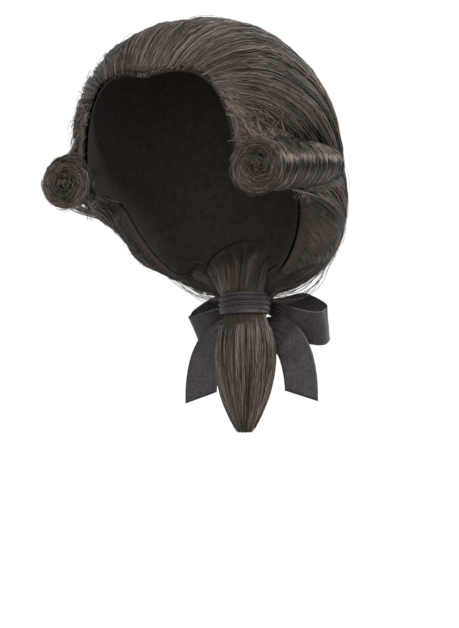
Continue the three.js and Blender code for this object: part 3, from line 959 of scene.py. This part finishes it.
# Rolled curls: strands round the sheet, and a swirl of ends in front and behind
rollLocks = {
    "strands": 950,
    "begin": (-0.13, 0.0),  # turns past the lip
    "last": (0.45, 0.80),
    "bend": 0.272,  # turns past the lip of the painted highlight, where the key lamp's highlight falls too
    "bendWidth": 0.015,
    "bendScatter": 0.007,
    "bendWander": 0.022,
    "pointsBefore": 5,
    "pointsAt": (-2.2, -1, 0, 1, 2.4, 4.8),  # in widths of the bend
    "pointsAfter": 4,
    "girth": 0.00025,
    "girths": (0.7, 1.25),
    "thinEnds": (0.4, 0.3),
    "locks": 30,
    "clumping": 0.6,
    "fineLocks": 74,
    "fineClumping": 0.7,
    "slant": 0.30,
    "swell": 0.0016,
}
# Tones of the roll's strands, all painted light: a painted highlight at the bend, painted shade just below
# it, and a lighter lower side and underside
rollPaintedLight = {
    "base": 0.16,
    "variety": 0.22,
    "top": 0.12,  # before the bend: painted light on the roll's upper side
    "bend": 0.85,
    "paintedShine": (0.2, 1.3),  # how much of the painted highlight a strand has
    "paintedShadeBand": -0.35,  # painted shade just past the painted highlight
    # painted light lifting the roll's lower side and underside
    "lower": 0.28,
    "under": 0.34,
    # darker at the roll's back end
    "back": -0.4,
}
rollEnds = {
    "strands": 400,
    "backShare": 0.5,
    "points": 11,
    "girth": 0.00018,
    "girths": (0.6, 1.3),
    "thinEnds": (0.4, 0.3),
    "sweep": (0.7, 3.4),  # radians
    "frizz": 0.00040,
    "loose": 0.0030,
    "fillShare": 0.08,  # of the strands, in the middle of the swirl
    "fill": (0.0, 0.16),
    "crescent": (0.74, 0.88),  # share of the radius left open at the top
    "tone": 0.40,
    "variety": 0.30,
}


def rollBundle(rng, hand):
    locks, tones, count = rollLocks, rollPaintedLight, numberOf(rollLocks["strands"])
    station = spread(rng, count, -0.01, 1.01)
    begin, last = spread(rng, count, *locks["begin"]), spread(rng, count, *locks["last"])
    bend = locks["bend"] + rng.normal(0, locks["bendScatter"], (count, 1))
    bend = bend + locks["bendWander"] * ripple(station * 52, 0 * station, 36)
    room = locks["bendWidth"]
    near = bend + room * np.array([locks["pointsAt"]])
    turned = np.concatenate([
        mix(begin, near[:, :1], shares(locks["pointsBefore"] + 1))[:, :-1],
        near,
        mix(near[:, -1:], last, shares(locks["pointsAfter"] + 1))[:, 1:],
    ], 1)
    phase = 2 * np.pi * locks["locks"] * station + 2 * ripple(station * 12, turned * 3, 31)
    pull = locks["clumping"] * np.sin(phase) / (2 * np.pi * locks["locks"])
    fine = 2 * np.pi * locks["fineLocks"] * station + 2 * ripple(station * 40, turned * 3, 35)
    pull = pull + locks["fineClumping"] * np.sin(fine) / (2 * np.pi * locks["fineLocks"])
    slant = locks["slant"] * (ease(-0.1, 0.2, turned) - 0.95)
    drift = spread(rng, count, -0.02, 0.02) * np.sin(np.pi * turned * 2 + spread(rng, count, 0, 6))
    place = np.clip(station - pull + slant + drift, 0, 1)
    swell = locks["swell"] * (0.35 - np.abs(ripple(place * 34, turned * 3, 32)) + 0.3 * np.cos(fine))
    points = rollPoint(hand, place, turned, swell + 0.0004 - 0.0008 * rng.random((count, 1)))
    girth = girthsOf(rng, count, turned.shape[1], locks["girth"], locks)
    patches = 0.5 * ripple(place * 30, turned * 2, 33) + 1.1 * ripple(place * 110, turned * 2, 34)
    past = turned - bend
    tone = strandTones(rng, count, tones["base"], patches, tones["variety"])
    paintedShine = spread(rng, count, *tones["paintedShine"]) + 0.6 * ripple(station * 120, 0 * station, 37)
    # painted light along each strand: lighter upper side, highlight at the bend, shade just below, lighter
    # underneath
    tone = tone + tones["top"] * ease(room, 3 * room, -past)
    tone = tone + tones["bend"] * paintedShine * bell(0, room, past) ** 1.2
    tone = tone + tones["paintedShadeBand"] * ease(room, 2 * room, past) * fade(0.06, 0.12, past)
    tone = tone + tones["lower"] * ease(0.08, 0.16, past) + tones["under"] * ease(0.18, 0.32, past)
    return points, girth, np.clip(tone + tones["back"] * ease(0.93, 1, place), 0, 1)


def rollEndBundle(rng, hand, front):
    ends, steps = rollEnds, rollEnds["points"]
    count = numberOf(ends["strands"] * (1 if front else ends["backShare"]))
    row = readTable(rollPath, np.full((count, 1), 0.0 if front else 1.0))
    size = np.sqrt(spread(rng, count, 0.002, 1.0))
    filling = rng.random((count, 1)) < ends["fillShare"]
    size = np.where(filling, spread(rng, count, *ends["fill"]), size)
    low, high = ends["crescent"]
    begin, sweep = spread(rng, count, 0, 2 * np.pi), spread(rng, count, *ends["sweep"])
    share = shares(steps)
    angle = begin - sweep * share
    waved = size - 0.10 * share * (size > 0.3) + 0.05 * ripple(angle * 2 + size * 30, 20 * size, 41)
    atTop = np.maximum(np.sin(angle), 0) ** 3
    outside, inside = np.maximum(waved, mix(0, high, atTop)), np.minimum(waved, mix(2, low, atTop))
    waved = np.where(waved > (low + high) / 2, outside, inside)
    reach = roll["radius"] * row["scale"] * np.minimum(waved, spread(rng, count, 0.93, 1.0))
    out, edge = (-1, curlLow.y) if front else (1, curlHigh.y)
    depth = spread(rng, count, -0.0030, 0.0016) + 0.0012 * ripple(angle * 3, size * 25, 42)
    bulge = 0.0022 * (1 - waved**2)
    loose = ends["loose"] * (size < 0.85)
    points = np.stack([
        hand * (row["across"] + reach * np.cos(angle) + loose * spread(rng, count, -1, 1)),
        edge + out * (depth + bulge),
        row["height"] + reach * np.sin(angle) + loose * spread(rng, count, -1, 1),
    ], -1)
    points = points + rng.normal(0, ends["frizz"], points.shape)
    girth = girthsOf(rng, count, steps, ends["girth"], ends)
    tone = strandTones(rng, count, ends["tone"], ripple(angle * 5, size * 14, 43), ends["variety"])
    tone = tone + 0.10 * (waved - 0.5) - 0.15 * ease(0.85, 1, waved)
    return points, girth, np.clip(tone, 0, 1)


rng = np.random.default_rng(seeds["curls"])
for name, hand in hands.items():
    body = copyOfNode("side_curl_" + name, rounds=1, sink=0.0004)
    underPiece(f"curl_{name}_body", body, "side_curl_" + name, alongRoll)
    templeHair = templeBundle(rng, hand)
    triangles += strandPiece("temple_strands_" + name, [
        templeHair,
        faceEdgeBundle(rng, hand),
        frizzBundle(rng, hand, templeHair[0]),
    ])
    triangles += strandPiece("curl_strands_" + name, [
        rollBundle(rng, hand),
        rollEndBundle(rng, hand, True),
        rollEndBundle(rng, hand, False),
    ])
print("side curls ready")

# Queue: the tail of hair under the tie
queueLocks = {
    "strands": 560,
    "points": 10,
    "girth": 0.00024,
    "girths": (0.7, 1.25),
    "thinEnds": (0.6, 0.3),
    "rooted": 0.7,  # share of the strands that begin at the tie
    "laterRoots": (0.1, 0.6),
    "ends": (0.86, 1.0),
    "locks": 11,
    "clumping": 0.35,
    "drift": 0.10,  # radians
    "swell": 0.0012,
    "sink": 0.001,  # of the body under the strands
    "clear": 0.06,  # a distance outside the queue
    "tone": 0.42,
}
queueLow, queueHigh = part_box("queue")
queueMiddle = (queueLow + queueHigh) / 2
queueBody = copyOfNode("queue", rounds=1)
queueSkin = BVHTree.FromBMesh(queueBody)
for vertex in queueBody.verts:
    vertex.co -= vertex.normal * queueLocks["sink"]


def onQueue(turn, way):
    # the place on the queue's skin at an angle round it and a share of the way down
    height = mix(queueHigh.z - 0.001, queueLow.z + 0.001, way)
    centre = Vector((queueMiddle.x, queueMiddle.y, height))
    out = Vector((math.cos(turn) * 2, math.sin(turn), 0)).normalized()
    return queueSkin.ray_cast(centre + out * queueLocks["clear"], -out, queueLocks["clear"])[0] or centre


def queueBundle(rng):
    locks, steps, count = queueLocks, queueLocks["points"], numberOf(queueLocks["strands"])
    turn = spread(rng, count, 0, 2 * np.pi)
    begin = np.where(rng.random((count, 1)) < locks["rooted"], 0.0, spread(rng, count, *locks["laterRoots"]))
    way = mix(begin, spread(rng, count, *locks["ends"]), shares(steps))
    turn = turn + locks["clumping"] * np.sin(locks["locks"] * turn) / locks["locks"]
    turn = turn + locks["drift"] * np.sin(3 * way + spread(rng, count, 0, 6)) * ease(0, 0.4, way)
    points = np.array([[onQueue(*place) for place in zip(*rows)] for rows in zip(turn, way)])
    swell = locks["swell"] * (0.3 - np.abs(ripple(turn * 7, way * 3, 51)))
    outward = (points - np.array(queueMiddle)) * np.array([1, 1, 0])
    length = np.linalg.norm(outward, axis=-1, keepdims=True)
    points = points + outward / np.maximum(length, 0.001) * swell[..., None] * np.minimum(1, length / 0.004)
    girth = girthsOf(rng, count, steps, locks["girth"], locks)
    return evened(points, 1), girth, strandTones(rng, count, locks["tone"], ripple(turn * 5, way * 3, 52))


def queueComb(places):
    return np.arctan2(places[:, 1] - queueMiddle.y, places[:, 0]) / 6


rng = np.random.default_rng(seeds["queue"])
queueHair = queueBundle(rng)
underPiece("queue_body", queueBody, "queue", queueComb)
triangles += strandPiece("queue_strands", [queueHair])
print("queue ready")

# Loose hair: short hairs along the hairline, flyaways over the crown, and the nape's inner side.
# The ear's, the nape loops' and those under the curl are on both sides. Roots, and lengths as
# shares of the way: with no length a hair ends at the tie.
looseGirth = 0.00013
looseHair = {
    "hairline": {
        "strands": 380, "points": 8, "roots": (-0.006, 0.05), "lengths": (0.03, 0.10),
        "girths": (0.7, 1.3), "thinEnds": (0.8, 0.2), "tone": 0.45, "dip": -0.0015,
    },
    "flyaways": {
        "strands": 110, "points": 14, "sides": (-0.95, 0.95), "roots": (0, 0.6),
        "lengths": (0.08, 0.28), "girths": (0.6, 1.1), "thinEnds": (0.6, 0.2), "tone": 0.55,
    },
    "napeLoops": {
        "strands": 40, "points": 16, "sides": (0.66, 0.97), "roots": (0.42, 0.62),
        "girths": (1.2, 2.0), "thinEnds": (0.6, 0.3), "tone": 0.30,
    },
    "underCurl": {
        "strands": 60, "points": 8, "sides": (0.56, 0.74), "roots": (0.04, 0.24),
        "lengths": (0.02, 0.09), "girths": (0.9, 1.6), "thinEnds": (0.5, 0.3), "tone": 0.70,
    },
    "ear": {
        "strands": 130, "points": 8, "sides": (0.60, 0.97), "roots": (-0.004, 0.10),
        "lengths": (0.08, 0.30), "girths": (1.26, 2.34), "thinEnds": (0.5, 0.3), "tone": 0.35,
        "lift": -0.0006, "depth": 0.001,
    },
    "nape": {
        "strands": 240, "points": 9, "sides": (-0.97, 0.97), "roots": (0.872, 0.89),
        "girths": (1.12, 2.08), "thinEnds": (0.5, 0.4), "tone": 0.35,
        "lift": -0.0008, "depth": 0.0008,
    },
}


def looseWay(rng, family):
    count = numberOf(family["strands"])
    begin = spread(rng, count, *family["roots"])
    length = spread(rng, count, *family["lengths"]) if "lengths" in family else 1 - begin
    return begin + length * shares(family["points"])


def looseHairs(rng, points, family):
    # the points as hairs, with the girths and tones of their family
    count, steps = points.shape[:2]
    girth = girthsOf(rng, count, steps, looseGirth, family)
    return points, girth, strandTones(rng, count, family["tone"], 0 * points[..., 0])


def hairlineBundle(rng):
    family = looseHair["hairline"]
    count, share = numberOf(family["strands"]), shares(family["points"])
    side = np.sign(spread(rng, count, -1, 1)) * 0.62 * rng.random((count, 1)) ** 0.7
    way = looseWay(rng, family)
    turn = spread(rng, count, -0.03, 0.03) * share
    curl = 0.010 * ripple(way * 60 + side * 50, side * 60, 61)
    lift = mix(family["dip"], 1, share) * spread(rng, count, 0.0, 0.0030)
    lift = lift * (1 + 0.8 * ease(0.25, 0.4, np.abs(side)))
    lift = lift + fluffAt(side, way) * spread(rng, count, 0.4, 1.1)
    points = onSkin(side + turn + curl, way, lift + 0.0003 - 0.002 * fade(-0.006, 0.02, way))
    return looseHairs(rng, points, family)


def flyawayBundle(rng):
    family = looseHair["flyaways"]
    count, share = numberOf(family["strands"]), shares(family["points"])
    side = spread(rng, count, *family["sides"])
    way = np.minimum(looseWay(rng, family), 0.98)
    turn = spread(rng, count, -0.05, 0.05) * share + 0.012 * ripple(share * 4 + side * 90, side * 50, 62)
    lift = spread(rng, count, 0.0004, 0.0026) * np.sin(np.pi * share * spread(rng, count, 0.55, 1.0))
    points = onSkin(np.clip(side + turn, -1, 1), way, lift + 0.0004)
    return looseHairs(rng, points, family)


def napeLoopBundle(rng, hand):
    # slack hairs that hang out of the nape and come back to the tie
    family = looseHair["napeLoops"]
    count, share = numberOf(family["strands"]), shares(family["points"])
    side = spread(rng, count, *family["sides"])
    way = looseWay(rng, family)
    slack = 0.0005 + 0.0075 * rng.random((count, 1)) ** 1.7
    lift = slack * np.sin(np.pi * share ** spread(rng, count, 1.2, 2.0))
    turn = 0.02 * ripple(share * 4 + side * 70, side * 60, 63)
    points = onSkin(hand * np.clip(side + turn, 0, 1), way, lift)
    points[..., 2] = points[..., 2] - 0.6 * lift
    return looseHairs(rng, points, family)


def underCurlBundle(rng, hand):
    # frizz on the hair just under the rolled curl
    family = looseHair["underCurl"]
    count, share = numberOf(family["strands"]), shares(family["points"])
    side = spread(rng, count, *family["sides"])
    way = looseWay(rng, family)
    turn = 0.02 * ripple(share * 5 + side * 80, side * 60, 64)
    lift = spread(rng, count, 0.0004, 0.0020) * np.sin(np.pi * share) + 0.0004
    return looseHairs(rng, onSkin(hand * (side + turn), way, lift), family)


def innerBundle(rng, name, hand=1):
    # hair on the inner side: of the ear's edge, or gathered to the tie at the nape
    family = looseHair[name]
    count = numberOf(family["strands"])
    side = hand * spread(rng, count, *family["sides"])
    way = looseWay(rng, family)
    lift = family["lift"] - family["depth"] * rng.random((count, 1))
    return looseHairs(rng, onSkin(side, way, lift, inside=True), family)


rng = np.random.default_rng(seeds["loose"])
triangles += strandPiece("loose_hair", [
    hairlineBundle(rng),
    flyawayBundle(rng),
    napeLoopBundle(rng, 1),
    napeLoopBundle(rng, -1),
    underCurlBundle(rng, 1),
    underCurlBundle(rng, -1),
    innerBundle(rng, "ear", 1),
    innerBundle(rng, "ear", -1),
    innerBundle(rng, "nape"),
])
print(f"loose hair ready, {triangles} triangles of strands in all")

# Cloth: a fine weave of noise stretched both ways, and worn patches
capFinish = {
    "colour": (0.0150, 0.0115, 0.0095, 1),
    "worn": (0.0260, 0.0205, 0.0170, 1),
    "patches": 220.0,
    "roughness": 0.9,
    "specular": 0.12,
    "sheen": 0.02,
    "threads": 900.0,  # a metre
    "relief": 0.0007,
}
ribbonFinish = {
    "colour": (0.0050, 0.0034, 0.0044, 1),
    "worn": (0.0280, 0.0200, 0.0260, 1),
    "patches": 520.0,
    "roughness": 0.46,
    "specular": 0.35,
    "sheen": 0.05,
    "threads": 3000.0,
    "relief": 0.00016,
}
clothWeave = {
    "stretches": ((1.0, 1.0, 0.12), (0.12, 1.0, 1.0)),
    "mottling": (0.34, 0.72),
}


def clothMaterial(name, finish):
    paint, shader = newPaint(name, finish)
    nodes, links = paint.node_tree.nodes, paint.node_tree.links
    where, weave = nodes.new("ShaderNodeTexCoord"), nodes.new("ShaderNodeMath")
    weave.operation = "MAXIMUM"
    for i, scale in enumerate(clothWeave["stretches"]):
        stretch, thread = nodes.new("ShaderNodeMapping"), addNoise(paint, finish["threads"], 1.0)
        stretch.inputs["Scale"].default_value = scale
        links.new(where.outputs["Object"], stretch.inputs["Vector"])
        links.new(stretch.outputs["Vector"], thread.inputs["Vector"])
        links.new(thread.outputs["Fac"], weave.inputs[i])
    addRelief(paint, shader, weave.outputs["Value"], finish["relief"])
    patches, mottled = addNoise(paint, finish["patches"], 5.0), nodes.new("ShaderNodeMapRange")
    links.new(where.outputs["Object"], patches.inputs["Vector"])
    low, high = clothWeave["mottling"]
    mottled.inputs["From Min"].default_value, mottled.inputs["From Max"].default_value = low, high
    links.new(patches.outputs["Fac"], mottled.inputs["Value"])
    colours = nodes.new("ShaderNodeMix")
    colours.data_type = "RGBA"
    colours.inputs["A"].default_value = finish["colour"]
    colours.inputs["B"].default_value = finish["worn"]
    links.new(mottled.outputs["Result"], colours.inputs["Factor"])
    links.new(colours.outputs["Result"], shader.inputs["Base Color"])
    shader.inputs["Sheen Weight"].default_value = finish["sheen"]
    return paint


capPaint = clothMaterial("capCloth", capFinish)
ribbonPaint = clothMaterial("ribbonSatin", ribbonFinish)


def clothPiece(name, bm, paint, node):
    mesh = bpy.data.meshes.new(name)
    bm.to_mesh(mesh)
    bm.free()
    mesh.shade_smooth()
    mesh.materials.append(paint)
    return newObject(name, mesh, (node,))


capBody = copyOfNode("foundation_cap", rounds=1)
clothPiece("cap_cloth", capBody, capPaint, "foundation_cap")
print("cap ready")

# Ribbon: a strip bent into loops and tails, pleated where the knot holds it
ribbon = {
    "width": 0.030,
    "wall": 0.0006,
    "clearance": 0.0003,
    "rows": 20,
    "loopReach": 0.058,
    "loopGape": 0.022,
    "loopSag": 0.017,
    "loopSetBack": 0.010,
    "loopLean": 0.68,
    "loopSplay": 0.12,
    "loopPinch": 0.42,  # share of the width at the knot
    "loopSteps": 66,
    "tailDrop": 0.074,
    "tailSpread": 0.044,
    "tailSetIn": 0.010,
    "tailWidths": (0.3, 0.93),  # shares of the width at the knot and below
    "tailSteps": 60,
    "cutSlant": 0.009,  # how much longer one edge of a tail is
    "pleats": 5,
    "pleatDepth": 0.0013,
    "pleatWander": 0.07,
    "ruck": 0.0007,
    "knotFolds": 3.5,
    "knotFoldDepth": 0.0007,
}
wrap = {
    "flatWidth": 0.024,
    "slack": 1.01,
    "segments": 72,
    "rows": 24,
    "folds": 4,
    "foldDepth": 0.0009,
    "foldWander": 0.16,
    "inset": 0.0006,
    "bulge": 0.0006,
}
knotLow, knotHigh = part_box("ribbon_knot")
knot = (knotLow + knotHigh) / 2
knotSize = knotHigh - knotLow


def upperEdge(hand):
    # where the loop's upper edge leans, seen from its lower one
    return Vector((hand * ribbon["loopSplay"], -ribbon["loopLean"], 1)).normalized()


def outward(share):
    # how far from the knot a place on a loop is, from 0 to 1 and back
    return (1 - math.cos(2 * math.pi * share)) / 2


def loopPath(hand, share):
    out, turn = outward(share), (2 * share - 1) * math.pi
    sign = (turn > 0) - (turn < 0)
    opening = abs(math.sin(turn)) ** 0.85 * mix(0.12, 1, float(ease(0, 0.6, out))) + 0.1
    start = knotSize.x / 2 + ribbon["clearance"] + ribbon["width"] * 0.05
    upper = upperEdge(hand)
    rear = (Vector((0, 1, 0)) - upper * upper.y).normalized()
    return Vector((
        hand * (start + (ribbon["loopReach"] - start) * out),
        knot.y + ribbon["loopSetBack"] * out,
        tie[2] - ribbon["loopSag"] * out,
    )) + rear * sign * opening * ribbon["loopGape"] / 2


def tailPath(hand, share):
    top = tie[2] - knotSize.z / 2 - ribbon["clearance"] - ribbon["width"] * 0.068
    spreadOut, setIn = ribbon["tailSpread"], ribbon["tailSetIn"]
    posts = [
        Vector((hand * knotSize.x * 0.28, knot.y - setIn * 0.2, top)),
        Vector((hand * spreadOut * 0.35, knot.y - setIn * 0.8, top - ribbon["width"] * 0.17)),
        Vector((hand * spreadOut, knot.y - setIn, top - ribbon["width"] * 0.27)),
        Vector((hand * spreadOut, knot.y - setIn, tie[2] - ribbon["tailDrop"])),
    ]
    s, t = 1 - share, share
    return posts[0] * s**3 + posts[1] * 3 * t * s**2 + posts[2] * 3 * t**2 * s + posts[3] * t**3


def giveWall(piece):
    wall = piece.modifiers.new("wall", "SOLIDIFY")
    wall.thickness, wall.offset = ribbon["wall"], 0


def ribbonStrip(name, node, path, lean, widthAt, pleatAt, steps, slant=0.0):
    # a grid laid along the path; widthAt and pleatAt give its width and pleats at a share of it
    bm = bmesh.new()
    bmesh.ops.create_grid(bm, x_segments=steps, y_segments=ribbon["rows"], size=0.5)
    pieces = 80
    length = sum((path((i + 1) / pieces) - path(i / pieces)).length for i in range(pieces))
    for vertex in bm.verts:
        share, level = vertex.co.x + 0.5, vertex.co.y
        along = (path(min(share + 0.01, 1)) - path(max(share - 0.01, 0))).normalized()
        side = (lean - along * lean.dot(along)).normalized()
        wander = ribbon["pleatWander"] * math.sin(9 * share)
        fold = math.cos(2 * math.pi * ribbon["pleats"] * (level + wander))
        ruck = ribbon["ruck"] * float(ripple(np.array(share * 9), np.array(level * 2 + 5), 71))
        offset = along.cross(side) * (fold * ribbon["pleatDepth"] * pleatAt(share) + ruck)
        offset += along * slant * level * float(ease(0.75, 1, share))
        vertex.co = path(share) + side * level * ribbon["width"] * widthAt(share) + offset
    piece = clothPiece(name, bm, ribbonPaint, node)
    giveWall(piece)
    print(f"{name}: cut {ribbon['width'] * 1000:.0f} by {length * 1000:.0f} mm")


def ribbonKnot():
    bm = copyOfNode("ribbon_knot", rounds=2)
    for vertex in bm.verts:
        across, level = (vertex.co.x - knot.x) / knotSize.x, (vertex.co.z - knot.z) / knotSize.z
        fold = math.cos(2 * math.pi * ribbon["knotFolds"] * across * (1 - 0.3 * level**2))
        vertex.co += vertex.normal * ribbon["knotFoldDepth"] * fold * (1 - (2 * level) ** 4)
    return clothPiece("ribbon_knot_bow", bm, ribbonPaint, "ribbon_knot")


def ribbonWrap():
    # the turn round the gathered hair, rucked into level folds
    wide, deep = (wrapHigh.x - wrapLow.x) / 2, (wrapHigh.y - wrapLow.y) / 2
    middle, height = (wrapHigh + wrapLow) / 2, wrapHigh.z - wrapLow.z
    bm = bmesh.new()
    bmesh.ops.create_circle(bm, segments=wrap["segments"], radius=1.0)
    ring = bm.edges[:]
    for _ in range(wrap["rows"]):
        grown = bmesh.ops.extrude_edge_only(bm, edges=ring)["geom"]
        ring = [part for part in grown if isinstance(part, bmesh.types.BMEdge)]
        moved = [part for part in grown if isinstance(part, bmesh.types.BMVert)]
        bmesh.ops.translate(bm, verts=moved, vec=(0, 0, 1 / wrap["rows"]))
    for vertex in bm.verts:
        turn, level = math.atan2(vertex.co.y, vertex.co.x), vertex.co.z
        wander = wrap["foldWander"] * math.sin(2 * turn + 1)
        fold = wrap["foldDepth"] * math.cos(2 * math.pi * (wrap["folds"] * level + wander))
        fold = fold * math.sin(math.pi * min(max(level, 0.05), 0.95))
        out = wrap["bulge"] * math.sin(math.pi * level) + fold - wrap["inset"]
        vertex.co = Vector((
            middle.x + (wide + out) * math.cos(turn),
            middle.y + (deep + out) * math.sin(turn),
            wrapLow.z + height * level,
        ))
    bmesh.ops.recalc_face_normals(bm, faces=bm.faces)
    piece = clothPiece("ribbon_turn", bm, ribbonPaint, "ribbon_wrap")
    giveWall(piece)


ribbonKnot()
ribbonWrap()
for name, hand in hands.items():
    ribbonStrip(
        "bow_" + name, "bow_loop_" + name, lambda share: loopPath(hand, share), upperEdge(hand),
        lambda share: mix(ribbon["loopPinch"], 1, float(ease(0, 0.55, outward(share)))),
        lambda share: float(fade(0.05, 0.42, outward(share))), ribbon["loopSteps"])
    ribbonStrip(
        "ribbon_end_" + name, "ribbon_tail_" + name,
        lambda share: tailPath(hand, share), Vector((hand, 0, 0.3)),
        lambda share: mix(*ribbon["tailWidths"], float(ease(0, 0.55, share))),
        lambda share: float(fade(0.1, 0.6, share)), ribbon["tailSteps"], ribbon["cutSlant"])
print("ribbon ready")
